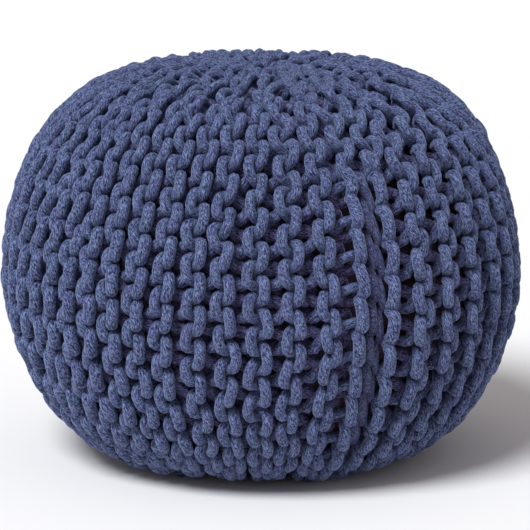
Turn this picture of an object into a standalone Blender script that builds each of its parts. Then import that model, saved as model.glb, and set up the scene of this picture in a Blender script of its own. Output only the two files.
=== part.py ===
"""Knitted pouf: a round floor cushion in a garter-stitch cover of thick cotton cord.

The cover was knitted sideways, so its ridges run from base to crown. Both ends are drawn in, and the
first and last rows are laced together in one seam, right of the middle of the front.

Metres, +Z up. The origin is the middle of the flat base, and the front faces -Y. An angle round the
pouf is measured at the origin from the front, and grows towards +X.
"""

import math

import bmesh
import bpy
import numpy as np

# Driving dimensions
DIAMETER = 0.450
HEIGHT = 0.345
WIDEST_Z = 0.158  # height of the widest level above the floor
BASE_RADIUS = 0.095  # flat underside
CORD = 0.0097  # thickness of the cotton cord

# Roundness of the side, as the powers of a superellipse: 2 and 2 make a plain ellipse
CROWN_POWERS = {"radius": 3.9, "height": 1.9}
LOWER_POWERS = {"radius": 2.25, "height": 1.75}

# Gathered crown
CROWN_DIP = 0.007
CROWN_DIP_RADIUS = 0.024
CROWN_HOLE_RADIUS = 0.006  # innermost ring of points, closed by one small face

# Knitted ridges, evenly numbered from the seam's right edge round the back to its left edge
RIDGES = 49
SEAM_LEFT_DEG = 17.6
SEAM_RIGHT_DEG = 30.4
CROWDED = 0.10  # share by which ridges are packed or stretched round the pouf
STRETCHED_AT_DEG = 75.0  # where the knitting is stretched most by its seam
CROWDED_AT_DEG = -40.0  # where the ridges are packed closest
VALLEY_DEPTH = 0.85 * CORD
FULL_DEPTH_RADIUS = 0.150  # nearer the axis, ridges get lower as they get narrower
BASE_FADE = 0.030  # ridges rise over this length from the edge of the flat underside

RINGS = 27
SAMPLES = 400  # fine steps in which lengths along the side are measured

# Across one ridge: share of its width, and how far the surface lies in from the crests
RIDGE_SECTION = (
    {"across": 0.00, "inset": 1.00},
    {"across": 0.23, "inset": 0.12},
    {"across": 0.50, "inset": 0.00},
    {"across": 0.77, "inset": 0.12},
)
# Across the seam: a column of bars, the sunken lacing, and the next row's column
SEAM_SECTION = (
    {"across": 0.00, "inset": 1.00},
    {"across": 0.16, "inset": 0.10},
    {"across": 0.42, "inset": 0.10},
    {"across": 0.56, "inset": 0.70},
    {"across": 0.72, "inset": 0.70},
    {"across": 0.80, "inset": 0.10},
    {"across": 0.95, "inset": 0.10},
)

# Hand-made unevenness
LEAN = 0.004  # rise of the crown to the right, for each metre
SIDE_BULGE = 0.0012
SIDE_BULGES = 3

NAVY = (0.066, 0.076, 0.168, 1.0)
ROUGHNESS = 0.9


def side_profile():
    """Radius and height of the crests, from the edge of the flat underside up to the crown."""
    turn = np.linspace(0.0, 0.5 * math.pi, SAMPLES)
    inwards = np.cos(turn)
    rise = np.sin(turn)
    widest = 0.5 * DIAMETER
    lower_radius = BASE_RADIUS + (widest - BASE_RADIUS) * inwards ** (2 / LOWER_POWERS["radius"])
    lower_height = WIDEST_Z * (1 - rise ** (2 / LOWER_POWERS["height"]))
    upper_radius = widest * inwards ** (2 / CROWN_POWERS["radius"])
    upper_height = WIDEST_Z + (HEIGHT - WIDEST_Z) * rise ** (2 / CROWN_POWERS["height"])
    upper_height -= CROWN_DIP * np.exp(-((upper_radius / CROWN_DIP_RADIUS) ** 2))
    kept = upper_radius > CROWN_HOLE_RADIUS
    radius = np.concatenate([lower_radius[::-1], upper_radius[1:][kept[1:]]])
    height = np.concatenate([lower_height[::-1], upper_height[1:][kept[1:]]])
    height[0] = 0.0
    return radius, height


def rings_of_side():
    """One row for each ring of points: radius, height, outward direction and length from the base."""
    radius, height = side_profile()
    steps = np.hypot(np.diff(radius), np.diff(height))
    length = np.concatenate([[0.0], np.cumsum(steps)])
    at = np.linspace(0.0, length[-1], RINGS)
    slope_r = np.interp(at, length, np.gradient(radius, length))
    slope_z = np.interp(at, length, np.gradient(height, length))
    size = np.hypot(slope_r, slope_z)
    return [
        {"radius": r, "height": z, "out_r": dz / s, "out_z": -dr / s, "length": d}
        for r, z, dr, dz, s, d in zip(
            np.interp(at, length, radius), np.interp(at, length, height), slope_r, slope_z, size, at
        )
    ]


def ridge_edges():
    """Angles of the valleys between ridges, in degrees: packed on the left and stretched on the right."""
    angle = np.linspace(SEAM_RIGHT_DEG, SEAM_LEFT_DEG + 360.0, SAMPLES)
    stretch = CROWDED * np.cos(np.radians(angle - STRETCHED_AT_DEG))
    packing = CROWDED * np.cos(2 * np.radians(angle - CROWDED_AT_DEG))
    density = 1 / (1 + stretch - packing)
    steps = 0.5 * (density[1:] + density[:-1])
    count = np.concatenate([[0.0], np.cumsum(steps)])
    return np.interp(np.linspace(0.0, count[-1], RIDGES + 1), count, angle)


def section_points():
    """(angle in radians, inset from 0 to 1) of each point round the pouf."""
    edges = ridge_edges()
    points = []
    for start, end in zip(edges[:-1], edges[1:]):
        for row in RIDGE_SECTION:
            points.append((math.radians(start + row["across"] * (end - start)), row["inset"]))
    for row in SEAM_SECTION:
        angle = SEAM_LEFT_DEG + row["across"] * (SEAM_RIGHT_DEG - SEAM_LEFT_DEG)
        points.append((math.radians(angle + 360.0), row["inset"]))
    return points


def ridge_depth(ring):
    """Depth of the valleys at a ring: none on the flat underside, and low where ridges are narrow."""
    from_base = min(1.0, ring["length"] / BASE_FADE)
    width = min(1.0, ring["radius"] / FULL_DEPTH_RADIUS)
    return VALLEY_DEPTH * from_base * width


def cover_point(ring, angle, inset):
    """Point of the cover at a ring and angle, sunk below the crests by its inset."""
    sunk = inset * ridge_depth(ring)
    height_share = ring["height"] / HEIGHT
    bulge = SIDE_BULGE * math.sin(math.pi * height_share) * math.sin(SIDE_BULGES * angle + 0.6)
    radius = ring["radius"] - sunk * ring["out_r"] + bulge
    x = radius * math.sin(angle)
    y = -radius * math.cos(angle)
    z = ring["height"] - sunk * ring["out_z"] + LEAN * x * height_share**2
    return x, y, z


def make_cover(collection):
    """The filled cover as one closed solid: rings of ridged points between underside and crown."""
    mesh = bmesh.new()
    points = section_points()
    rings = [
        [mesh.verts.new(cover_point(ring, angle, inset)) for angle, inset in points]
        for ring in rings_of_side()
    ]
    count = len(points)
    for below, above in zip(rings[:-1], rings[1:]):
        for i in range(count):
            j = (i + 1) % count
            mesh.faces.new((below[i], below[j], above[j], above[i]))
    mesh.faces.new(reversed(rings[0]))
    mesh.faces.new(rings[-1])
    bmesh.ops.recalc_face_normals(mesh, faces=mesh.faces)
    data = bpy.data.meshes.new("knitted_cover")
    mesh.to_mesh(data)
    mesh.free()
    data.shade_smooth()
    data.materials.append(cotton_cord())
    cover = bpy.data.objects.new("knitted_cover", data)
    collection.objects.link(cover)
    return cover


def cotton_cord():
    """Navy cotton cord: matt and fibrous."""
    material = bpy.data.materials.new("navy_cotton_cord")
    material.use_nodes = True
    shader = material.node_tree.nodes["Principled BSDF"]
    shader.inputs["Base Color"].default_value = NAVY
    shader.inputs["Roughness"].default_value = ROUGHNESS
    shader.inputs["Metallic"].default_value = 0.0
    return material


def main():
    for old in list(bpy.data.objects):
        bpy.data.objects.remove(old, do_unlink=True)
    collection = bpy.data.collections.new("knitted_pouf")
    bpy.context.scene.collection.children.link(collection)
    make_cover(collection)


main()
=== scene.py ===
"""Looks of the knitted pouf: every stitch of its garter-stitch cover as a real loop of cotton cord.

The cover is knitted sideways, so its rows run from the base to the crown. Two rows make one ridge: a
row that faces the viewer with its plain side, and one that faces with its purl side. Lengths are in
metres. Angles round the pouf are in degrees from the front (-Y), growing towards +X.
"""

from __future__ import annotations

import logging
import math
from dataclasses import dataclass, field, replace
from enum import Enum
from functools import cached_property, partial

import bpy
import numpy as np
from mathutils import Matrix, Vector

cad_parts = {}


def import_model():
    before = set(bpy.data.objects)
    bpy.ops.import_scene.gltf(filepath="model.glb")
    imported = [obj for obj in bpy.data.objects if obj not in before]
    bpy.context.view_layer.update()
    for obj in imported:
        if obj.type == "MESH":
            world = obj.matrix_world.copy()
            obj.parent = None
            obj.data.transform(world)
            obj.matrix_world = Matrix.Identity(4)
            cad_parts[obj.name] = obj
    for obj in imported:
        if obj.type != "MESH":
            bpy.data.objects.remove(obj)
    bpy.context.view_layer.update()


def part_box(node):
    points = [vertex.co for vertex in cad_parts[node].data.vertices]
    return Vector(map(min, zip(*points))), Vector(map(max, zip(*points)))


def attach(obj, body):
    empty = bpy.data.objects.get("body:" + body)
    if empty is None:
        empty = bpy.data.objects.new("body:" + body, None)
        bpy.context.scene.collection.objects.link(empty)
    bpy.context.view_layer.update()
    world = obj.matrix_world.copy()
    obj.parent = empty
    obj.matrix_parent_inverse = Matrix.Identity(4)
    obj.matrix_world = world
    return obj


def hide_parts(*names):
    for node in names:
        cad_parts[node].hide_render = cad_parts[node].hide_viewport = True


LOG = logging.getLogger("knitted_pouf")
BODY = "root"
COVER_NODE = "knitted_cover"
CORD_ATTRIBUTE = "cord"  # (length along, x across, y across) of the cord as if it lay straight
DEPTH_ATTRIBUTE = "depth"  # 0 on the crest of a stitch, 1 deep inside the fabric; the cord's painted shade follows it
MM = 0.001
FULL_TURN = 2.0 * math.pi
SHORTEST_STEP = 1e-9

Table = tuple[tuple[float, float], ...]  # rows of a place and the value there
Values = np.ndarray | float


def hex_colour(text: str) -> tuple[float, float, float, float]:
    """Turns an sRGB hex colour into linear light.

    Args:
        text: six hex digits, such as "6470a0".

    Returns:
        Linear red, green, blue and an alpha of 1.
    """
    levels = [int(text[i : i + 2], 16) / 255 for i in (0, 2, 4)]
    linear = [c / 12.92 if c <= 0.04045 else ((c + 0.055) / 1.055) ** 2.4 for c in levels]
    return (linear[0], linear[1], linear[2], 1.0)


def smooth(value: Values) -> Values:
    """Smoothstep of a value held between 0 and 1."""
    held = np.clip(value, 0.0, 1.0)
    return held * held * (3.0 - 2.0 * held)


def fade(value: Values, start: float, full: float) -> Values:
    """Smooth rise from 0 at the start to 1 where it is full, which may lie below the start."""
    return smooth((value - start) / (full - start))


def look_up(table: Table, place: Values) -> Values:
    """Values of a table at places, in straight lines between its rows."""
    return np.interp(place, *np.array(table).T)


def wrapped(angle: Values) -> Values:
    """The same angle between -180 and 180 degrees."""
    return (angle + 180.0) % 360.0 - 180.0


def spline(values: np.ndarray, place: np.ndarray) -> np.ndarray:
    """Reads a smooth curve that runs through values at whole places.

    Args:
        values: the value at place 0, 1, 2 and so on.
        place: where to read the curve.

    Returns:
        The curve's value at each place.
    """
    low = np.clip(np.floor(place).astype(int), 0, len(values) - 2)
    share = place - low
    before, start = values[np.maximum(low - 1, 0)], values[low]
    end, after = values[low + 1], values[np.minimum(low + 2, len(values) - 1)]
    straight = end - before
    bend = 2 * before - 5 * start + 4 * end - after
    turn = 3 * (start - end) + after - before
    return start + 0.5 * share * (straight + share * (bend + share * turn))


def ease_turns(
    points: np.ndarray, passes: int = 12, cosines: tuple[float, float] = (0.5, -0.2)
) -> np.ndarray:
    """Rounds the sharpest turns of a path, so that the cord swept along it doesn't pinch there.

    Args:
        points: the path, which is changed.
        passes: how many times each turn is eased.
        cosines: of the turn where easing starts, and of the one where it is full.

    Returns:
        The path.
    """
    for _ in range(passes):
        step = np.diff(points, axis=0)
        step = step / np.maximum(np.linalg.norm(step, axis=1, keepdims=True), SHORTEST_STEP)
        sharp = fade((step[1:] * step[:-1]).sum(axis=1), *cosines)[:, None]
        halfway = 0.5 * (points[:-2] + points[2:])
        points[1:-1] += 0.5 * sharp * (halfway - points[1:-1])
    return points


def add_object(name: str, data: bpy.types.ID) -> bpy.types.Object:
    """Adds an object to the scene.

    Args:
        name: its name.
        data: its mesh, light or camera.

    Returns:
        The object.
    """
    added = bpy.data.objects.new(name, data)
    bpy.context.scene.collection.objects.link(added)
    return added


def add_material(name: str, values: dict[str, object]) -> bpy.types.Material:
    """Adds a node material.

    Args:
        name: its name.
        values: for each of its shader's sockets that is the same all over, the value.

    Returns:
        The material.
    """
    material = bpy.data.materials.new(name)
    material.use_nodes = True
    shader = material.node_tree.nodes["Principled BSDF"]
    for socket, value in values.items():
        shader.inputs[socket].default_value = value
    return material


def add_node(
    tree: bpy.types.NodeTree, kind: str, links: dict[str, object] | None = None, **settings: object
) -> bpy.types.Node:
    """Adds a node to a tree.

    Args:
        tree: the tree.
        kind: type of the node.
        links: for each input's identifier, the socket that feeds it, the node whose first output
            does, or its own value.
        settings: properties of the node.

    Returns:
        The node.
    """
    node = tree.nodes.new(kind)
    for name, value in settings.items():
        setattr(node, name, value)
    for name, source in (links or {}).items():
        target = next(s for s in node.inputs if s.identifier == name)
        if isinstance(source, bpy.types.Node):
            source = source.outputs[0]
        if isinstance(source, bpy.types.NodeSocket):
            tree.links.new(source, target)
        else:
            target.default_value = source
    return node


@dataclass(frozen=True)
class Waypoint:
    """One point of a stitch's path. Shares are of the stitch's length, reach, depth and cord."""

    along: float
    across: float
    out: float
    cord: float = 1.0
    samples: int = 2


class Stitch(Enum):
    """Kinds of row, each as the path of one stitch from a back arc over the front to the next."""

    # The plain side outwards: the front arc is an upright bar, bent like a ")". Its legs pass under
    # the other arcs to the left and spread apart, so that dark slots stay open between the stitches.
    PLAIN = (
        Waypoint(-0.60, -1.10, -1.20, 1.02, 1),
        Waypoint(-0.90, -0.85, -0.90, 0.96, 1),
        Waypoint(-0.89, -0.56, -0.36, 0.98, 1),
        Waypoint(-0.84, -0.27, 0.06, 0.96),
        Waypoint(-0.66, 0.06, -0.14, 0.90, 1),
        Waypoint(-0.43, 0.44, 0.02, 0.88),
        Waypoint(-0.32, 0.82, 0.62, 0.87),
        Waypoint(-0.24, 0.96, 1.03, 0.86),
        Waypoint(-0.02, 1.05, 1.06, 0.87),
        Waypoint(0.20, 1.04, 1.00, 0.87),
        Waypoint(0.29, 0.98, 0.62, 0.87),
        Waypoint(0.31, 0.70, -0.04, 0.88),
        Waypoint(0.42, 0.24, -0.40, 0.94, 1),
        Waypoint(0.57, -0.18, -0.46, 0.98, 1),
        Waypoint(0.66, -0.54, -0.56, 1.02, 1),
        Waypoint(0.66, -0.85, -0.86, 1.02, 1),
    )
    # The purl side outwards: the front arc is a "(", and its legs pass to the right.
    PURL = (
        Waypoint(-0.60, 1.10, -1.20, 1.02, 1),
        Waypoint(-0.90, 0.85, -0.94, 0.96, 1),
        Waypoint(-0.89, 0.56, -0.52, 0.98, 1),
        Waypoint(-0.82, 0.27, -0.32, 0.96),
        Waypoint(-0.65, -0.06, -0.22, 0.90, 1),
        Waypoint(-0.43, -0.44, 0.02, 0.88),
        Waypoint(-0.32, -0.80, 0.64, 0.87),
        Waypoint(-0.24, -0.98, 1.02, 0.86),
        Waypoint(-0.02, -1.06, 1.04, 0.87),
        Waypoint(0.20, -1.00, 0.98, 0.87),
        Waypoint(0.29, -0.84, 0.60, 0.87),
        Waypoint(0.31, -0.50, -0.06, 0.88),
        Waypoint(0.42, -0.20, -0.42, 0.94, 1),
        Waypoint(0.57, 0.20, -0.52, 0.98, 1),
        Waypoint(0.66, 0.54, -0.64, 1.02, 1),
        Waypoint(0.66, 0.85, -0.90, 1.02, 1),
    )
    # Edge loops left of the seam: their two legs cross the open valley like rungs.
    RUNG = (
        Waypoint(-0.50, -1.90, -1.20, 0.95, 1),
        Waypoint(-0.24, -1.60, -1.05, 0.95, 1),
        Waypoint(-0.23, -0.90, -0.75, 0.90),
        Waypoint(-0.22, -0.35, -0.62, 0.86),
        Waypoint(-0.12, 0.05, -0.45, 0.84),
        Waypoint(0.05, 0.10, -0.20, 0.80),
        Waypoint(0.24, -0.05, 0.15, 0.78),
        Waypoint(0.22, -0.55, 0.20, 0.76),
        Waypoint(0.15, -1.00, 0.00, 0.78),
        Waypoint(0.12, -1.45, -0.60, 0.86),
        Waypoint(0.24, -1.75, -1.05, 0.95, 1),
    )
    # The seam's chain: one upright bar in front for each stitch, with both ends tucked in.
    BAR = (
        Waypoint(-0.50, 0.30, -0.40, 0.94),
        Waypoint(-0.425, 0.22, 0.08, 0.96),
        Waypoint(-0.38, 0.12, 0.72, 0.98),
        Waypoint(-0.29, 0.08, 1.05, 1.00),
        Waypoint(0.00, 0.00, 1.12, 1.02),
        Waypoint(0.28, -0.07, 1.03, 1.00),
        Waypoint(0.37, -0.08, 0.66, 0.98),
        Waypoint(0.41, 0.06, 0.05, 0.96),
    )
    # Lacing between the two edges: a strand deep between the bars that winds down and up again.
    LACING = (
        Waypoint(-0.52, 0.30, -0.60, 0.74),
        Waypoint(-0.40, 0.40, -0.24, 0.78),
        Waypoint(-0.18, 0.20, -0.08, 0.80),
        Waypoint(0.12, 0.10, -0.08, 0.80),
        Waypoint(0.36, 0.00, -0.22, 0.78),
        Waypoint(0.46, 0.10, -0.55, 0.74),
    )
    # Edge loops right of the seam: upright bars that turn to the left a little at the top.
    SEVEN = (
        Waypoint(-0.50, 1.10, -0.75, 1.04),
        Waypoint(-0.46, 0.55, -0.35, 1.00),
        Waypoint(-0.41, 0.12, 0.36, 0.98),
        Waypoint(-0.31, 0.04, 0.94, 1.00),
        Waypoint(-0.03, 0.05, 1.06, 1.02),
        Waypoint(0.24, 0.04, 1.02, 1.02),
        Waypoint(0.35, -0.02, 0.74, 1.00),
        Waypoint(0.395, 0.10, 0.14, 0.96),
        Waypoint(0.37, 0.38, -0.50, 0.94),
        Waypoint(0.30, 0.60, -0.95, 0.96),
        Waypoint(0.28, 0.85, -1.00, 1.04, 1),
        Waypoint(0.34, 1.00, -0.90, 1.08, 1),
    )


class Zone(Enum):
    """Parts of the cover, as the shares of the way up its side where each starts and where it is full."""

    UNDERNEATH = (0.22, 0.14)  # the stitches hang loosely
    LOW = (0.36, 0.21)  # the ridges right of the front tip less
    UPPER = (0.60, 0.74)  # the cord is equally thick all round
    LOOSE_TOP = (0.74, 0.82)  # the stitches are more uneven
    CROWN = (0.78, 0.88)  # the cord is thinner and the stitches lie flatter

    def at(self, share: np.ndarray) -> np.ndarray:
        """How much each place is in this part, from 0 to 1."""
        return fade(share, *self.value)


@dataclass(frozen=True)
class CoverForm:
    """Surface that the crests of the knitting follow, drawn in at the crown and flat underneath."""

    width: float
    height: float
    widest_z: float = 0.158
    base_radius: float = 0.095
    base_hole: float = 0.009
    crown_hole: float = 0.009
    # Roundness of the side as the powers of a superellipse, for its radius and for its height
    crown_powers: tuple[float, float] = (3.9, 1.9)
    lower_powers: tuple[float, float] = (2.25, 1.75)
    crown_dip: float = 0.005
    crown_dip_radius: float = 0.024
    lean: float = 0.004  # rise of the crown to the right, for each metre
    side_bulge: float = 0.0012
    side_bulges: int = 3
    bulges_turned: float = 0.6
    side_samples: int = 600
    flat_samples: int = 39

    @cached_property
    def side(self) -> dict[str, np.ndarray]:
        """Measures the side from the hole underneath to the hole in the crown.

        Returns:
            Columns of length, radius, height, out_r and out_z, the last two its outward direction.
        """
        turn = np.linspace(0.0, 0.5 * math.pi, self.side_samples)
        inwards, rise = np.cos(turn), np.sin(turn)
        widest = 0.5 * self.width
        low_r = self.base_radius + (widest - self.base_radius) * inwards ** (2 / self.lower_powers[0])
        low_z = self.widest_z * (1 - rise ** (2 / self.lower_powers[1]))
        top_r = widest * inwards ** (2 / self.crown_powers[0])
        top_z = self.widest_z + (self.height - self.widest_z) * rise ** (2 / self.crown_powers[1])
        top_z = top_z - self.crown_dip * np.exp(-((top_r / self.crown_dip_radius) ** 2))
        kept = top_r > self.crown_hole
        flat = np.linspace(self.base_hole, self.base_radius, self.flat_samples + 1)[:-1]
        radius = np.concatenate([flat, low_r[::-1], top_r[kept][1:]])
        height = np.concatenate([np.zeros_like(flat), low_z[::-1], top_z[kept][1:]])
        length = np.concatenate([[0.0], np.cumsum(np.hypot(np.diff(radius), np.diff(height)))])
        slope_r, slope_z = np.gradient(radius, length), np.gradient(height, length)
        size = np.hypot(slope_r, slope_z)
        columns = {"length": length, "radius": radius, "height": height}
        return {**columns, "out_r": slope_z / size, "out_z": -slope_r / size}

    @property
    def length(self) -> float:
        """Length of the side from the hole underneath to the hole in the crown."""
        return float(self.side["length"][-1])

    def read(self, column: str, along: np.ndarray) -> np.ndarray:
        """Values of one column of the side at lengths along it."""
        return np.interp(along, self.side["length"], self.side[column])

    def place(self, angle: np.ndarray, along: np.ndarray, out: np.ndarray) -> np.ndarray:
        """Places points on the cover.

        Args:
            angle: degrees round the pouf.
            along: length up the side from the hole underneath.
            out: distance outwards from the crests.

        Returns:
            One row of x, y and z for each point.
        """
        turn = np.radians(angle)
        level = self.read("height", along)
        share = level / self.height
        waves = np.sin(self.side_bulges * turn + self.bulges_turned)
        radius = self.read("radius", along) + out * self.read("out_r", along)
        radius = radius + self.side_bulge * np.sin(math.pi * share) * waves
        x = radius * np.sin(turn)
        y = -radius * np.cos(turn)
        z = level + out * self.read("out_z", along) + self.lean * x * share**2
        return np.stack([x, y, z], axis=-1)


@dataclass(frozen=True)
class Gauge:
    """Sizes of the stitches, as measured on a ridge at the front."""

    cord: float = 10.2 * MM
    ridge_pitch: float = 28.3 * MM
    ridges: int = 49
    stitches: int = 22
    ridge_columns_apart: float = 10.8 * MM
    depth: float = 9.6 * MM  # centre of a front arc above the middle of the fabric
    seam_left_deg: float = 17.5
    seam_right_deg: float = 32.3
    # Angle round the pouf and the ridges' pitch there, both in degrees
    pitches_deg: Table = (
        (-180.0, 6.6),
        (-90.0, 7.4),
        (-70.0, 7.5),
        (-58.0, 6.4),
        (-48.0, 5.7),
        (-34.0, 6.6),
        (-20.0, 6.95),
        (-8.0, 6.85),
        (4.0, 7.2),
        (17.5, 7.9),
        (32.5, 8.0),
        (46.0, 9.2),
        (62.0, 8.8),
        (80.0, 7.8),
        (180.0, 6.6),
    )
    back_deg: tuple[float, float] = (85.0, 105.0)  # either way, where the back takes up the rest
    # Share of the way up the side, and how long the stitches are there next to their mean length
    stretches: Table = (
        (0.0, 0.95),
        (0.28, 1.00),
        (0.37, 1.085),
        (0.45, 1.02),
        (0.53, 0.96),
        (0.61, 0.98),
        (0.69, 1.03),
        (0.78, 1.01),
        (1.0, 0.98),
    )
    # Angle round the pouf, and how thick the cord is there next to its mean thickness
    yarns_deg: Table = (
        (-180.0, 1.06),
        (-75.0, 1.08),
        (-50.0, 1.14),
        (-35.0, 1.12),
        (-14.0, 1.03),
        (0.0, 1.00),
        (30.0, 1.00),
        (36.0, 1.05),
        (45.0, 0.93),
        (70.0, 0.90),
        (110.0, 1.02),
        (180.0, 1.06),
    )
    crown_yarn: float = 0.97  # the same for the upper part, all round
    # Angle round the pouf, and how far the ridges tip there: above 0, a ridge's right column stands
    # out further and is thicker than its left one
    tips_deg: Table = (
        (-180.0, 0.0),
        (-85.0, 0.2),
        (-65.0, 1.0),
        (-40.0, 1.0),
        (-15.0, 0.2),
        (10.0, 0.0),
        (40.0, -0.9),
        (55.0, -1.2),
        (65.0, -1.0),
        (85.0, -0.2),
        (180.0, 0.0),
    )
    tip_out: float = 1.4 * MM
    tip_cord: float = 0.07
    tip_shear: float = 0.31  # how far what lies deep moves sideways, as a share of the reach
    samples_up: int = 400
    samples_round: int = 1400

    @property
    def reach(self) -> float:
        """Half the height of a loop, from the middle of its row."""
        return 0.5 * (self.ridge_columns_apart + 0.5 * self.ridge_pitch)

    def share_along(self, stitch: np.ndarray) -> np.ndarray:
        """Finds places that are counted in stitches.

        Args:
            stitch: stitches from the base.

        Returns:
            Share of the way up the side at each place.
        """
        share = np.linspace(0.0, 1.0, self.samples_up)
        count = np.concatenate([[0.0], np.cumsum(1 / look_up(self.stretches, share)[1:])])
        return np.interp(stitch / self.stitches, count / count[-1], share)

    def edges(self) -> np.ndarray:
        """Spaces the ridges round the pouf, with those at the back sharing what the front leaves.

        Returns:
            Angles of the valleys between the ridges, from the seam's right edge round to its left.
        """
        angle = np.linspace(self.seam_right_deg, self.seam_left_deg + 360.0, self.samples_round)
        step = angle[1] - angle[0]
        density = 1 / look_up(self.pitches_deg, wrapped(angle))
        hidden = fade(np.abs(wrapped(angle)), *self.back_deg)
        shown = float((density * (1 - hidden)).sum() * step)
        density = density * (1 - hidden + hidden * (self.ridges - shown) / (density * hidden).sum() / step)
        count = np.concatenate([[0.0], np.cumsum(0.5 * (density[1:] + density[:-1]))])
        return np.interp(np.linspace(0.0, count[-1], self.ridges + 1), count, angle)


@dataclass(frozen=True)
class RowPlan:
    """Where one row runs, and how it differs from an ordinary row."""

    ridge: int
    middle: float  # angle of the middle of its ridge
    per_metre: float  # degrees for each metre across its ridge, at the ridge's full pitch
    start: float = 0.0  # place of its first stitch, in stitches from the base
    offset: float = 0.0  # distance right of the middle of its ridge
    first: float = 0.0  # where the row begins and ends, in stitches from the base
    last: float = math.inf
    slack: float = 1.0  # how uneven it is
    tip: float = 0.0  # how far it stands out
    shear: float = 0.0  # how far its deep parts move to the left, as a share of the reach


@dataclass(frozen=True)
class RowPath:
    """Points along a row in the fabric's own measures, before they are placed on the cover."""

    plan: RowPlan
    share: np.ndarray  # of the way up the side
    to_end: np.ndarray  # stitches to the nearer end of the row
    number: np.ndarray  # stitch number, which never falls
    local: np.ndarray  # stitches from the middle of the nearest front arc
    across: np.ndarray  # as shares of a loop's reach
    out: np.ndarray  # as shares of the stitches' depth
    cord: np.ndarray  # as shares of the cord's thickness

    @property
    def front(self) -> np.ndarray:
        """1 on the front arcs, and 0 from the middle of the fabric inwards."""
        return np.clip(self.out, 0.0, 1.0)

    @property
    def depth(self) -> np.ndarray:
        """0 on the front arcs, and 1 on the back arcs."""
        return np.clip(0.5 - 0.5 * self.out, 0.0, 1.0)


@dataclass
class Strand:
    """Centre line of one length of cord, its thickness, and how deep in the fabric it lies."""

    points: np.ndarray
    thickness: np.ndarray
    depth: np.ndarray


class Drift(Enum):
    """Ways in which the fabric drifts from its even place."""

    ACROSS = "across"
    ALONG = "along"
    OUT = "out"


@dataclass
class HandKnit:
    """Unevenness of hand knitting, the same at every run."""

    gauge: Gauge
    seed: int = 11
    drift: float = 1.1 * MM  # of the fabric, shared by neighbouring stitches
    slip: float = 0.8 * MM  # of one stitch
    size: float = 0.07  # spread of the stitches' sizes
    lean: float = 0.26  # spread of how far they lean over, as a share of the reach
    spare: int = 2  # stitches known beyond each end of a row
    rng: np.random.Generator = field(init=False, repr=False)
    drifts: dict[Drift, np.ndarray] = field(init=False, repr=False)

    def __post_init__(self) -> None:
        """Starts the random numbers and draws every drift."""
        self.rng = np.random.default_rng(self.seed)
        self.drifts = {kind: self.draw_drift() for kind in Drift}

    def draw_drift(self) -> np.ndarray:
        """Draws one drift of the whole fabric.

        Returns:
            A number for each stitch of each ridge, close to its neighbours', with a spread of 1.
        """
        shape = (self.gauge.ridges + 2 * self.spare, self.gauge.stitches + 2 * self.spare)
        soft = self.rng.normal(size=shape)
        for axis in (0, 1):
            soft = 0.5 * soft + 0.25 * (np.roll(soft, 1, axis) + np.roll(soft, -1, axis))
        return soft / soft.std()

    def drifted(self, kind: Drift, ridge: int, stitch: np.ndarray) -> np.ndarray:
        """Reads how far the fabric drifts along one ridge.

        Args:
            kind: which drift.
            ridge: number of the ridge.
            stitch: places in stitches from the start of the row.

        Returns:
            The distance at each place.
        """
        row = self.drifts[kind][ridge]
        return self.drift * np.interp(stitch, np.arange(len(row)) - self.spare, row)

    def each_stitch(self, stitch: np.ndarray, spread: float) -> np.ndarray:
        """Draws a random number for each stitch of a row.

        Args:
            stitch: places in stitches from the start of the row.
            spread: standard deviation of the numbers.

        Returns:
            The number at each place, changing smoothly from stitch to stitch.
        """
        values = self.rng.normal(scale=spread, size=self.gauge.stitches + 2 * self.spare)
        place = stitch + self.spare
        low = np.floor(place).astype(int)
        share = smooth(place - low)
        return (1 - share) * values[low] + share * values[np.minimum(low + 1, len(values) - 1)]


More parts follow.
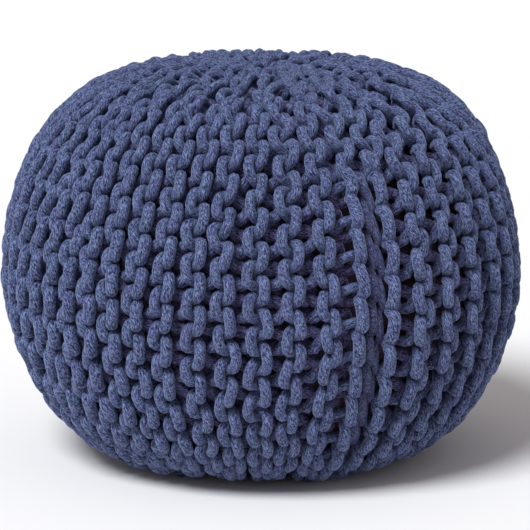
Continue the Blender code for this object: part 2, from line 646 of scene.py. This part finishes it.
@dataclass
class KnittedRows:
    """Works out the cord's path through the rows of the cover.

    Rows draw their random numbers as they are made, so each is made once and in order.
    """

    form: CoverForm
    gauge: Gauge
    hand: HandKnit
    repeats_beyond: int = 3  # stitches laid out beyond a row's own, before it is cut to length
    # How an ordinary ridge is put together
    plain_start: float = 0.70  # places of the first stitches of its two rows
    purl_start: float = 0.20
    column_offset: float = 0.25  # of each row from the ridge's middle, as a share of its pitch
    # Where ridges get narrow, their cord gives way
    least_cord: float = 0.80
    narrow_pitch: float = 9.0 * MM
    full_cord_pitch: float = 17.0 * MM
    crowded_pitch: float = 21.0 * MM  # where the two columns of a ridge touch the next ridge's
    # Where the ends are drawn together, ridges pair up: one sinks and its neighbour spreads over both
    crown_radii: tuple[float, ...] = (126.0 * MM, 66.0 * MM, 34.0 * MM, 18.0 * MM)
    base_radii: tuple[float, ...] = (130.0 * MM, 68.0 * MM, 35.0 * MM, 18.0 * MM)
    pairing: tuple[float, float] = (1.125, 0.875)  # shares of a radius where that starts and is full
    huddling: tuple[float, float] = (1.36, 0.76)  # the same for how the two lean together
    gather_sink: float = 7.5 * MM
    # On the crown
    crown_cord: float = 0.87
    crown_arch: float = 0.4  # how far the ends of a front arc drop there, as a share of its height
    arc_half: float = 0.3  # of a front arc, in stitches
    # Unevenness
    looseness: float = 0.9  # how much more uneven the knitting is near both ends
    height_slack: float = 0.5  # how uneven a stitch's height is, next to its width
    wave: float = 0.5  # how far the fabric drifts in and out, next to its drift sideways
    sag: float = 1.6  # how much more the stitches underneath do so
    low_upright: float = 0.75  # how much of their tip the ridges right of the front lack low down
    shear_depth: float = 1.4  # depth, as a share of the stitches', from which the shear stays the same
    # Ends of the rows, and the floor
    end_length: float = 0.6  # last part of a row that drops out of sight, in stitches
    end_drop: float = 9.0 * MM
    floor_gap: float = 0.2 * MM

    def walk(self, stitch: Stitch, plan: RowPlan) -> RowPath:
        """Repeats a stitch's waypoints along a row.

        Args:
            stitch: the kind of row.
            plan: where the row runs.

        Returns:
            Its path, cut to length.
        """
        waypoints, stitches = stitch.value, self.gauge.stitches
        repeats = stitches + self.repeats_beyond
        table = {
            name: np.tile([getattr(point, name) for point in waypoints], repeats)
            for name in ("along", "across", "out", "cord")
        }
        table["along"] = table["along"] + np.repeat(np.arange(repeats) - 1, len(waypoints))
        steps = [i + j / point.samples for i, point in enumerate(waypoints) for j in range(point.samples)]
        at = np.concatenate([np.array(steps) + k * len(waypoints) for k in range(repeats)])
        at = at[at < len(waypoints) * repeats - 1]
        path = {name: spline(values, at) for name, values in table.items()}
        path["number"] = np.maximum.accumulate(path["along"])
        place, last = path["along"] + plan.start, min(plan.last, stitches)
        kept = (place >= plan.first) & (place <= last)
        place, path = place[kept], {name: values[kept] for name, values in path.items()}
        along = path.pop("along")
        return RowPath(
            plan=plan,
            share=self.gauge.share_along(place),
            to_end=np.minimum(place - plan.first, last - place),
            local=along - np.round(along),
            **path,
        )

    def slack(self, path: RowPath) -> np.ndarray:
        """How uneven a row is at each point: more near both ends of the cover."""
        loose = Zone.UNDERNEATH.at(path.share) + Zone.LOOSE_TOP.at(path.share)
        return path.plan.slack * (1 + self.looseness * loose)

    def tipping(self, path: RowPath) -> np.ndarray:
        """How much of its tip a row has at each point.

        Args:
            path: the row's path.

        Returns:
            A share from 0, on the crown, to 1. Ridges that tip to the left have less low down.
        """
        share = 1 - Zone.CROWN.at(path.share)
        if path.plan.shear < 0:
            share = share * (1 - self.low_upright * Zone.LOW.at(path.share))
        return share

    def run_along(self, path: RowPath) -> np.ndarray:
        """Works out where a row's points lie up the side.

        Args:
            path: the row's path.

        Returns:
            Length up the side at each point.
        """
        hand, length = self.hand, self.form.length
        along = path.share * length + self.slack(path) * hand.each_stitch(path.number, hand.slip)
        along = along + hand.drifted(Drift.ALONG, path.plan.ridge, path.number)
        return np.clip(along, 0.0, length)

    def reach_across(self, path: RowPath) -> np.ndarray:
        """Works out how far a row's points lie to the side.

        Args:
            path: the row's path.

        Returns:
            Distance right of the middle of the row at each point.
        """
        hand, plan, slack = self.hand, path.plan, self.slack(path)
        lean = slack * hand.each_stitch(path.number, hand.lean) * path.local * path.front
        sunk = np.clip(1.0 - path.out, 0.0, self.shear_depth)
        lean = lean - plan.shear * sunk * self.tipping(path)
        size = 1 + slack * hand.each_stitch(path.number, hand.size)
        across = self.gauge.reach * (path.across * size + lean)
        across = across + slack * hand.each_stitch(path.number, hand.slip)
        return across + hand.drifted(Drift.ACROSS, plan.ridge, path.number)

    def stand_out(self, path: RowPath) -> np.ndarray:
        """Works out how far a row's points stand out.

        Args:
            path: the row's path.

        Returns:
            Distance from the middle of the fabric at each point.
        """
        hand, plan, gauge = self.hand, path.plan, self.gauge
        arch = self.crown_arch * Zone.CROWN.at(path.share) * (path.local / self.arc_half) ** 2
        uneven = self.height_slack * self.slack(path) * hand.each_stitch(path.number, hand.size)
        out = gauge.depth * (path.out - arch * path.front) * (1 + uneven)
        out = out + plan.tip * gauge.tip_out * (1 - path.depth) * self.tipping(path)
        wave = self.wave + self.sag * Zone.UNDERNEATH.at(path.share)
        return out + wave * hand.drifted(Drift.OUT, plan.ridge, path.number)

    def yarn(self, path: RowPath) -> np.ndarray:
        """Works out how thick a row's cord is before it has to give way.

        Args:
            path: the row's path.

        Returns:
            Thickness at each point.
        """
        gauge, plan = self.gauge, path.plan
        yarn = look_up(gauge.yarns_deg, wrapped(plan.middle)) * (1 + gauge.tip_cord * plan.tip)
        yarn = yarn + (gauge.crown_yarn - yarn) * Zone.UPPER.at(path.share)
        return gauge.cord * yarn * path.cord

    def gather(self, ridge: int, along: np.ndarray, radius: np.ndarray) -> tuple[np.ndarray, ...]:
        """Works out how a ridge spreads, sinks and moves where the ends are drawn together.

        Args:
            ridge: number of the ridge.
            along: length up the side.
            radius: distance from the pouf's axis.

        Returns:
            How many times wider the ridge is, how far it sinks, and its sideways move in ridges.
        """
        wider, sink, move = np.ones_like(radius), np.zeros_like(radius), np.zeros_like(radius)
        if ridge > self.gauge.ridges:  # the one next to the seam has no partner
            return wider, sink, move
        number, half = ridge, 0.5
        for crown, base in zip(self.crown_radii, self.base_radii):
            drawn_in = radius / np.where(along > 0.5 * self.form.length, crown, base)
            paired = fade(drawn_in, *self.pairing)
            leaning = half * fade(drawn_in, *self.huddling)
            if number % 2:
                return wider, sink + self.gather_sink * paired, move - leaning
            wider = wider * (1 + paired)
            move = move + leaning
            number //= 2
            half *= 2.0
        return wider, sink, move

    def row(self, stitch: Stitch, plan: RowPlan) -> Strand:
        """Makes one row of stitches.

        Args:
            stitch: the kind of row.
            plan: where it runs, and how it differs from an ordinary row.

        Returns:
            The cord of this row.
        """
        gauge = self.gauge
        path = self.walk(stitch, plan)
        along = self.run_along(path)
        across = self.reach_across(path)
        out = self.stand_out(path)
        radius = self.form.read("radius", along)
        wider, sink, move = self.gather(plan.ridge, along, radius)
        pitch = radius * math.radians(plan.per_metre) * gauge.ridge_pitch * wider
        size = np.interp(pitch, (self.narrow_pitch, self.full_cord_pitch), (self.least_cord, 1.0))
        size = size * (1 - (1 - self.crown_cord) * Zone.CROWN.at(path.share))
        dropped = self.end_drop * (1 - smooth(path.to_end / self.end_length))
        out = size * (out - gauge.depth - 0.5 * gauge.cord) - dropped - sink
        # The arcs in front keep their size until the ridges crowd. What lies deeper gives way.
        front = np.degrees(1 / radius) * np.minimum(1.0, pitch / self.crowded_pitch) / wider
        stretch = front + path.depth * (plan.per_metre - front)
        angle = plan.middle + wider * (stretch * across + front * plan.offset)
        angle = angle + plan.per_metre * gauge.ridge_pitch * move
        points = ease_turns(self.form.place(angle, along, out))
        thickness = size * self.yarn(path)
        points[:, 2] = np.maximum(points[:, 2], 0.5 * thickness + self.floor_gap)
        return Strand(points, thickness, path.depth)

    def plan_between(self, number: int, left: float, right: float) -> RowPlan:
        """Plan of the ridge of this number, between the angles of the valleys on its two sides."""
        return RowPlan(number, 0.5 * (left + right), (right - left) / self.gauge.ridge_pitch)

    def ridge(self, plan: RowPlan) -> list[Strand]:
        """Makes the two rows of a ridge.

        Args:
            plan: where the ridge runs.

        Returns:
            Its cords.
        """
        tip = float(look_up(self.gauge.tips_deg, wrapped(plan.middle)))
        plan = replace(plan, shear=self.gauge.tip_shear * tip)
        aside = self.column_offset * self.gauge.ridge_pitch
        return [
            self.row(Stitch.PLAIN, replace(plan, start=self.plain_start, offset=-aside, tip=tip)),
            self.row(Stitch.PURL, replace(plan, start=self.purl_start, offset=aside, tip=-tip)),
        ]


@dataclass
class Seam:
    """Seam that closes the knitting into a tube: edge loops, a chain of bars and two lacing strands.

    Near the crown the closing gets loose and irregular, and reads as two more untidy ridges.
    """

    rows: KnittedRows
    bar_deg: float = 21.2
    lacing_deg: float = 24.9
    second_deg: float = 26.6
    seven_deg: float = 28.8
    per_metre: float = 254.0  # degrees round the widest level
    laced_to: float = 15.4  # stitches from the base
    overlap: float = 0.7  # stitches from there down to where the loose ridges start
    loose_slack: float = 1.8

    def strands(self) -> list[Strand]:
        """Makes the rows of the seam.

        Returns:
            Its cords.
        """
        rows, gauge, top = self.rows, self.rows.gauge, self.laced_to
        plan = partial(RowPlan, gauge.ridges + 1, per_metre=self.per_metre)
        laced = (
            (Stitch.RUNG, plan(self.bar_deg, start=0.36, last=top)),
            (Stitch.BAR, plan(self.bar_deg, start=0.81, last=top - 0.1, slack=0.6)),
            (Stitch.LACING, plan(self.lacing_deg, start=0.66, last=top, slack=1.2)),
            (Stitch.LACING, plan(self.second_deg, start=0.30, last=top, slack=1.2, tip=-2.0)),
            (Stitch.SEVEN, plan(self.seven_deg, start=0.40, last=top + 0.3, slack=0.8)),
        )
        strands = [rows.row(stitch, row_plan) for stitch, row_plan in laced]
        edges = np.linspace(gauge.seam_left_deg, gauge.seam_right_deg, 3)
        for number, left, right in zip((gauge.ridges, gauge.ridges + 1), edges[:-1], edges[1:]):
            loose = rows.plan_between(number, left, right)
            strands += rows.ridge(replace(loose, first=top - self.overlap, slack=self.loose_slack))
        return strands


@dataclass
class CordMaker:
    """Turns centre lines into cord with Geometry Nodes, as a plain mesh."""

    material: bpy.types.Material
    sides: int = 8
    unevenness: float = 0.02  # of the cord's thickness, from point to point
    strand_shift: float = 1.37  # distance in the cord's pattern from one strand to the next
    seed: int = 5
    tree: bpy.types.NodeTree = field(init=False)

    def __post_init__(self) -> None:
        """Builds the node tree once."""
        self.tree = self.build_tree()

    def build_tree(self) -> bpy.types.NodeTree:
        """Builds the tree that sweeps a round section along each spline.

        Returns:
            The node group, which also writes the cord's own coordinates.
        """
        tree = bpy.data.node_groups.new("cord_along_path", "GeometryNodeTree")
        for name, kind in (
            ("Geometry", "NodeSocketGeometry"),
            ("Sides", "NodeSocketInt"),
            ("Unevenness", "NodeSocketFloat"),
            ("Seed", "NodeSocketInt"),
            ("Material", "NodeSocketMaterial"),
        ):
            tree.interface.new_socket(name, in_out="INPUT", socket_type=kind)
        tree.interface.new_socket("Geometry", in_out="OUTPUT", socket_type="NodeSocketGeometry")
        add = partial(add_node, tree)
        given = add("NodeGroupInput").outputs
        # The length along each strand, which starts at another place of the pattern for each
        number = add("GeometryNodeInputIndex")
        strand = add("GeometryNodeFieldOnDomain", {"Value": number}, domain="CURVE")
        start = add("ShaderNodeMath", {"Value": strand, "Value_001": self.strand_shift}, operation="MULTIPLY")
        along = add("GeometryNodeSplineParameter").outputs["Length"]
        length = add("ShaderNodeMath", {"Value": along, "Value_001": start}, operation="ADD")
        path = add(
            "GeometryNodeStoreNamedAttribute",
            {
                "Geometry": add("GeometryNodeMeshToCurve", {"Mesh": given["Geometry"]}),
                "Name": "length",
                "Value": length,
            },
            data_type="FLOAT",
            domain="POINT",
        )
        # The round section, with each point's place across the cord
        circle = add("GeometryNodeCurvePrimitiveCircle", {"Resolution": given["Sides"], "Radius": 1.0})
        section = add(
            "GeometryNodeStoreNamedAttribute",
            {
                "Geometry": circle.outputs["Curve"],
                "Name": "across",
                "Value": add("GeometryNodeInputPosition"),
            },
            data_type="FLOAT_VECTOR",
            domain="POINT",
        )
        # The radius, a little uneven
        jitter = add(
            "FunctionNodeRandomValue",
            {"Min_001": -1.0, "Max_001": 1.0, "Seed": given["Seed"]},
            data_type="FLOAT",
        )
        swing = add(
            "ShaderNodeMath",
            {"Value": jitter.outputs[1], "Value_001": given["Unevenness"], "Value_002": 1.0},
            operation="MULTIPLY_ADD",
        )
        width = add("GeometryNodeInputNamedAttribute", {"Name": "thickness"}, data_type="FLOAT")
        radius = add("ShaderNodeMath", {"Value": width, "Value_001": 0.5}, operation="MULTIPLY")
        scale = add("ShaderNodeMath", {"Value": radius, "Value_001": swing}, operation="MULTIPLY")
        swept = add(
            "GeometryNodeCurveToMesh",
            {"Curve": path, "Profile Curve": section, "Scale": scale, "Fill Caps": True},
        )
        # Both measures joined as the cord's own coordinates
        length = add("GeometryNodeInputNamedAttribute", {"Name": "length"}, data_type="FLOAT")
        across = add("GeometryNodeInputNamedAttribute", {"Name": "across"}, data_type="FLOAT_VECTOR")
        parts = add("ShaderNodeSeparateXYZ", {"Vector": across}).outputs
        written = add(
            "GeometryNodeStoreNamedAttribute",
            {
                "Geometry": swept,
                "Name": CORD_ATTRIBUTE,
                "Value": add("ShaderNodeCombineXYZ", {"X": length, "Y": parts[0], "Z": parts[1]}),
            },
            data_type="FLOAT_VECTOR",
            domain="POINT",
        )
        smoothed = add("GeometryNodeSetShadeSmooth", {"Geometry": written})
        real = add("GeometryNodeRealizeInstances", {"Geometry": smoothed})
        dressed = add("GeometryNodeSetMaterial", {"Geometry": real, "Material": given["Material"]})
        tree.links.new(dressed.outputs[0], add("NodeGroupOutput").inputs[0])
        return tree

    def make(self, name: str, strands: list[Strand]) -> bpy.types.Object:
        """Makes one piece of cord from several strands.

        Args:
            name: name of the piece.
            strands: the centre lines in it.

        Returns:
            The piece, as a mesh at the origin.
        """
        points = np.concatenate([strand.points for strand in strands])
        ends = np.cumsum([len(strand.points) for strand in strands])
        starts = np.setdiff1d(np.arange(len(points) - 1), ends - 1)
        path = bpy.data.meshes.new(name + "_path")
        path.from_pydata(points.tolist(), np.stack([starts, starts + 1], axis=1).tolist(), [])
        for label in ("thickness", DEPTH_ATTRIBUTE):
            values = np.concatenate([getattr(strand, label) for strand in strands]).astype(np.float32)
            path.attributes.new(label, "FLOAT", "POINT").data.foreach_set("value", values)
        guide = add_object(name + "_path", path)
        modifier = guide.modifiers.new("cord", "NODES")
        modifier.node_group = self.tree
        given = {
            "Sides": self.sides,
            "Unevenness": self.unevenness,
            "Seed": self.seed,
            "Material": self.material,
        }
        for item in self.tree.interface.items_tree:
            if item.in_out == "INPUT" and item.name in given:
                modifier[item.identifier] = given[item.name]
        bpy.context.view_layer.update()
        graph = bpy.context.evaluated_depsgraph_get()
        mesh = bpy.data.meshes.new_from_object(guide.evaluated_get(graph), depsgraph=graph)
        mesh.name = name
        bpy.data.objects.remove(guide)
        bpy.data.meshes.remove(path)
        for spare in ("length", "across", "thickness"):
            if spare in mesh.attributes:
                mesh.attributes.remove(mesh.attributes[spare])
        return add_object(name, mesh)


@dataclass
class KnittedCover:
    """The whole cover: its seam, and its ridges a few to a piece."""

    form: CoverForm
    cord: CordMaker
    ridges_a_piece: int = 9

    def strands(self) -> dict[str, list[Strand]]:
        """Knits the cover.

        Returns:
            For each piece's name, its cords.
        """
        gauge = Gauge()
        rows = KnittedRows(self.form, gauge, HandKnit(gauge))
        pieces = {"seam": Seam(rows).strands()}
        edges = gauge.edges()
        for number, (left, right) in enumerate(zip(edges[:-1], edges[1:])):
            cords = rows.ridge(rows.plan_between(number, left, right))
            pieces.setdefault(f"ridges_{number // self.ridges_a_piece + 1}", []).extend(cords)
        return pieces

    def make(self) -> list[bpy.types.Object]:
        """Makes the cover's pieces, which stand for its solid.

        Returns:
            The pieces.
        """
        pieces = [self.cord.make(name, strands) for name, strands in self.strands().items()]
        for piece in pieces:
            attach(piece, BODY)
            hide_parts(COVER_NODE)
        return pieces


@dataclass(frozen=True)
class Grain:
    """One pattern in a cord, with its size along and across the plies."""

    length: float
    width: float
    detail: float
    roughness: float


@dataclass(frozen=True)
class CottonCord:
    """Soft cotton cord, twisted from many fine plies and dyed navy.

    It is matt and fibrous. The eye gets fine streaks along its plies, paler and darker flecks of fibre,
    slow patches of another hue where the dye took unevenly, and a soft bloom of fine hairs at its edges.
    Where the cord lies deep in the fabric, painted shade makes it warmer and darker.
    """

    shade: str = "3c4266"
    dark: str = "141731"
    pale: str = "7c88b0"
    bloom: str = "a9b6e0"
    painted_deep_shade: str = "e1b9cc"  # painted shade that makes the cord deep in the fabric warmer and darker
    # Levels of the fibres at which the cord has its dark colour, its own shade and its pale colour
    dark_at: float = 0.415
    shade_at: float = 0.48
    pale_at: float = 0.595
    radius: float = 5.0 * MM
    twist_pitch: float = 60.0 * MM  # length in which the plies wind once round the cord
    plies: Grain = Grain(length=2.4 * MM, width=0.9 * MM, detail=4.0, roughness=0.7)
    flecks: Grain = Grain(length=1.44 * MM, width=0.9 * MM, detail=2.0, roughness=0.6)
    patches: Grain = Grain(length=9.0 * MM, width=6.3 * MM, detail=2.0, roughness=0.5)
    ply_share: float = 0.6  # of the plies in the fibres' level, next to the flecks
    patch_levels: tuple[float, float] = (0.35, 0.65)
    patch_hues: tuple[float, float] = (0.49, 0.51)  # 0.5 leaves the hue as it is
    # Depths in the fabric where the painted shade starts and where it is full
    painted_shade_depths: tuple[float, float] = (0.4, 0.9)
    relief: float = 1.0 * MM

    def material(self) -> bpy.types.Material:
        """Builds the node material.

        Returns:
            The material.
        """
        material = add_material(
            "navy_cotton_cord",
            {
                "Roughness": 0.95,
                "IOR": 1.45,
                "Specular IOR Level": 0.2,
                "Sheen Weight": 0.6,
                "Sheen Roughness": 0.35,
                "Sheen Tint": hex_colour(self.bloom),
            },
        )
        tree = material.node_tree
        shader = tree.nodes["Principled BSDF"]
        add = partial(add_node, tree)
        # The cord's own coordinates, turned about its axis so that every pattern winds with the plies
        place = add("ShaderNodeAttribute", attribute_name=CORD_ATTRIBUTE, attribute_type="GEOMETRY")
        along = add("ShaderNodeSeparateXYZ", {"Vector": place.outputs["Vector"]})
        angle = add(
            "ShaderNodeMath",
            {"Value": along, "Value_001": FULL_TURN / self.twist_pitch},
            operation="MULTIPLY",
        )
        twisted = add(
            "ShaderNodeVectorRotate",
            {"Vector": place.outputs["Vector"], "Angle": angle},
            rotation_type="X_AXIS",
        )
        levels = []
        for grain in (self.plies, self.flecks, self.patches):
            across = self.radius / grain.width
            scaled = add(
                "ShaderNodeVectorMath",
                {"Vector": twisted, "Vector_001": (1 / grain.length, across, across)},
                operation="MULTIPLY",
            )
            noise = add(
                "ShaderNodeTexNoise",
                {"Vector": scaled, "Scale": 1.0, "Detail": grain.detail, "Roughness": grain.roughness},
            )
            levels.append(noise.outputs["Fac"])
        plies, flecks, patches = levels
        # Plies and flecks make the fibres, which give both colour and relief
        level = add("ShaderNodeMath", {"Value": plies, "Value_001": self.ply_share}, operation="MULTIPLY")
        fibres = add(
            "ShaderNodeMath",
            {"Value": flecks, "Value_001": 1 - self.ply_share, "Value_002": level},
            operation="MULTIPLY_ADD",
        )
        ramp = add("ShaderNodeValToRGB", {"Fac": fibres})
        stops = ramp.color_ramp.elements
        stops[0].position, stops[0].color = self.dark_at, hex_colour(self.dark)
        stops[1].position, stops[1].color = self.pale_at, hex_colour(self.pale)
        stops.new(self.shade_at).color = hex_colour(self.shade)
        hue = add(
            "ShaderNodeMapRange",
            {
                "Value": patches,
                "From Min": self.patch_levels[0],
                "From Max": self.patch_levels[1],
                "To Min": self.patch_hues[0],
                "To Max": self.patch_hues[1],
            },
        )
        tinted = add("ShaderNodeHueSaturation", {"Color": ramp, "Hue": hue})
        # Painted shade: deeper in the fabric, the colour is multiplied towards a warmer, darker one
        inside = add("ShaderNodeAttribute", attribute_name=DEPTH_ATTRIBUTE, attribute_type="GEOMETRY")
        painted_shade_share = add(
            "ShaderNodeMapRange",
            {
                "Value": inside.outputs["Fac"],
                "From Min": self.painted_shade_depths[0],
                "From Max": self.painted_shade_depths[1],
            },
        )
        shaded = add(
            "ShaderNodeMix",
            {"Factor_Float": painted_shade_share, "A_Color": tinted, "B_Color": hex_colour(self.painted_deep_shade)},
            data_type="RGBA",
            blend_type="MULTIPLY",
        )
        tree.links.new(shaded.outputs[2], shader.inputs["Base Color"])
        bump = add("ShaderNodeBump", {"Height": fibres, "Strength": 0.7, "Distance": self.relief})
        tree.links.new(bump.outputs["Normal"], shader.inputs["Normal"])
        return material


@dataclass(frozen=True)
class Calico:
    """Plain-woven calico, dyed dark.

    It is matt. The eye gets single threads of slightly uneven shade with dark gaps between them, and
    duller patches where it is worn.
    """

    warp: str = "6b5668"
    weft: str = "5a4a5a"
    gap: str = "2c242e"
    worn: str = "8f8590"  # multiplies the colour of the worn patches
    thread: float = 1.1 * MM  # about twice the real width, which would be too fine to show
    gap_share: float = 0.1
    wear: float = 12.0 * MM
    wear_levels: tuple[float, float] = (0.3, 0.7)
    relief: float = 0.2 * MM
    radius: float = 200.0 * MM  # of the bag, where its threads have their true width

    def material(self) -> bpy.types.Material:
        """Builds the node material.

        Returns:
            The material.
        """
        material = add_material("dark_calico", {"Roughness": 0.95, "Specular IOR Level": 0.2})
        tree = material.node_tree
        shader = tree.nodes["Principled BSDF"]
        add = partial(add_node, tree)
        # The cloth's own plane: the way round the bag, and the height
        place = add("ShaderNodeTexCoord").outputs["Object"]
        parts = add("ShaderNodeSeparateXYZ", {"Vector": place}).outputs
        turn = add("ShaderNodeMath", {"Value": parts[0], "Value_001": parts[1]}, operation="ARCTAN2")
        around = add("ShaderNodeMath", {"Value": turn, "Value_001": self.radius}, operation="MULTIPLY")
        weave = add(
            "ShaderNodeTexBrick",
            {
                "Vector": add("ShaderNodeCombineXYZ", {"X": around, "Y": parts[2]}),
                "Color1": hex_colour(self.warp),
                "Color2": hex_colour(self.weft),
                "Mortar": hex_colour(self.gap),
                "Scale": 1.0,
                "Mortar Size": self.gap_share * self.thread,
                "Brick Width": 2.0 * self.thread,
                "Row Height": self.thread,
            },
        )
        wear = add("ShaderNodeTexNoise", {"Vector": place, "Scale": 1 / self.wear, "Detail": 3.0})
        level = add(
            "ShaderNodeMapRange",
            {
                "Value": wear.outputs["Fac"],
                "From Min": self.wear_levels[0],
                "From Max": self.wear_levels[1],
            },
        )
        worn = add(
            "ShaderNodeMix",
            {"Factor_Float": level, "A_Color": weave, "B_Color": hex_colour(self.worn)},
            data_type="RGBA",
            blend_type="MULTIPLY",
        )
        tree.links.new(worn.outputs[2], shader.inputs["Base Color"])
        bump = add(
            "ShaderNodeBump",
            {"Height": weave.outputs["Fac"], "Strength": 0.5, "Distance": self.relief},
            invert=True,
        )
        tree.links.new(bump.outputs["Normal"], shader.inputs["Normal"])
        return material


@dataclass(frozen=True)
class InnerBag:
    """Closed bag of calico that holds the filling and shows only as dark gaps between stitches."""

    form: CoverForm
    material: bpy.types.Material
    inset: float = 28.0 * MM
    narrow_inset: float = 12.0 * MM  # together with a share of the radius, where that is less
    narrow_share: float = 0.55
    mouth: float = 45.0 * MM  # radius of its flat ends
    around: int = 96
    rings: int = 48

    def make(self) -> bpy.types.Object:
        """Builds the bag.

        Returns:
            The piece.
        """
        reached = self.form.side["length"][self.form.side["radius"] > self.mouth]
        along = np.repeat(np.linspace(reached[0], reached[-1], self.rings), self.around)
        angle = np.tile(np.arange(self.around) * 360.0 / self.around, self.rings)
        narrow = self.narrow_share * self.form.read("radius", along) + self.narrow_inset
        points = self.form.place(angle, along, -np.minimum(self.inset, narrow))
        faces = []
        for below in range(0, len(points) - self.around, self.around):
            above = below + self.around
            for i in range(self.around):
                j = (i + 1) % self.around
                faces.append((below + i, below + j, above + j, above + i))
        faces.append(tuple(reversed(range(self.around))))
        faces.append(tuple(range(len(points) - self.around, len(points))))
        mesh = bpy.data.meshes.new("inner_bag")
        mesh.from_pydata(points.tolist(), [], faces)
        mesh.update()
        mesh.shade_smooth()
        mesh.materials.append(self.material)
        bag = add_object("inner_bag", mesh)
        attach(bag, BODY)
        return bag


@dataclass(frozen=True)
class StudioPaper:
    """Wide roll of pale studio paper: quite matt, so that only a soft shadow shows on it."""

    shade: str = "f6f2f0"
    half_width: float = 12.0

    def material(self) -> bpy.types.Material:
        """Builds the material."""
        values = {"Base Color": hex_colour(self.shade), "Roughness": 1.0, "Specular IOR Level": 0.0}
        return add_material("pale_paper", values)

    def lay(self) -> None:
        """Lays the paper as the floor."""
        half = self.half_width
        mesh = bpy.data.meshes.new("floor")
        corners = [(-half, -half, 0.0), (half, -half, 0.0), (half, half, 0.0), (-half, half, 0.0)]
        mesh.from_pydata(corners, [], [(0, 1, 2, 3)])
        mesh.materials.append(self.material())
        add_object("floor", mesh)


@dataclass(frozen=True)
class Studio:
    """Pale floor, soft light and the camera at the photograph's angle."""

    form: CoverForm
    elevation_deg: float = 11.5
    distance: float = 2.70
    focal_px: float = 3113.0
    frame_px: float = 530.0
    centre_px: tuple[float, float] = (262.5, 271.8)  # where the middle of the widest level shows
    sensor_mm: float = 36.0
    farthest: float = 50.0
    key_from: tuple[float, float, float] = (-0.54, -0.86, 1.24)
    key_spread_deg: float = 24.0
    key_power: float = 3.08
    key_colour: tuple[float, float, float] = (0.94, 1.0, 1.04)
    sky_power: float = 0.39
    sky_colour: tuple[float, float, float, float] = (1.0, 0.975, 1.0, 1.0)

    def camera(self) -> None:
        """Places the camera so that the widest level shows where it does in the photograph."""
        data = bpy.data.cameras.new("camera")
        data.sensor_width = self.sensor_mm
        data.lens = self.sensor_mm * self.focal_px / self.frame_px
        data.clip_end = self.farthest
        camera = add_object("camera", data)
        tilt = math.radians(self.elevation_deg)
        per_px = self.distance / self.focal_px
        half = 0.5 * self.frame_px
        right = (half - self.centre_px[0]) * per_px
        up = (self.centre_px[1] - half) * per_px
        target = Vector((right, 0.0, self.form.widest_z + up / math.cos(tilt)))
        back = Vector((0.0, -math.cos(tilt), math.sin(tilt)))
        camera.location = target + self.distance * back
        camera.rotation_euler = (-back).to_track_quat("-Z", "Y").to_euler()
        bpy.context.scene.camera = camera

    def light(self) -> None:
        """Adds one far, soft key light and an even sky."""
        data = bpy.data.lights.new("key", "SUN")
        data.angle = math.radians(self.key_spread_deg)
        data.energy = self.key_power
        data.color = self.key_colour
        lamp = add_object("key", data)
        lamp.location = Vector(self.key_from)
        lamp.rotation_euler = Vector(self.key_from).to_track_quat("Z", "Y").to_euler()
        world = bpy.data.worlds.new("studio")
        bpy.context.scene.world = world
        world.use_nodes = True
        background = world.node_tree.nodes["Background"]
        background.inputs["Color"].default_value = self.sky_colour
        background.inputs["Strength"].default_value = self.sky_power

    def build(self) -> None:
        """Builds floor, lights, world and camera."""
        StudioPaper().lay()
        self.light()
        bpy.context.scene.view_settings.view_transform = "Standard"
        self.camera()


def main() -> None:
    """Loads the frame, builds the pouf piece by piece and keeps both sizes."""
    logging.basicConfig(level=logging.INFO, format="%(name)s: %(message)s")
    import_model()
    low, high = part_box(COVER_NODE)
    form = CoverForm(width=high.x - low.x, height=high.z - low.z)
    Studio(form).build()
    cord = CordMaker(CottonCord().material())
    pieces = [InnerBag(form, Calico().material()).make()]
    pieces += KnittedCover(form, cord).make()
    for piece in pieces:
        LOG.info("%s: %d faces", piece.name, len(piece.data.polygons))


if __name__ == "__main__":
    main()
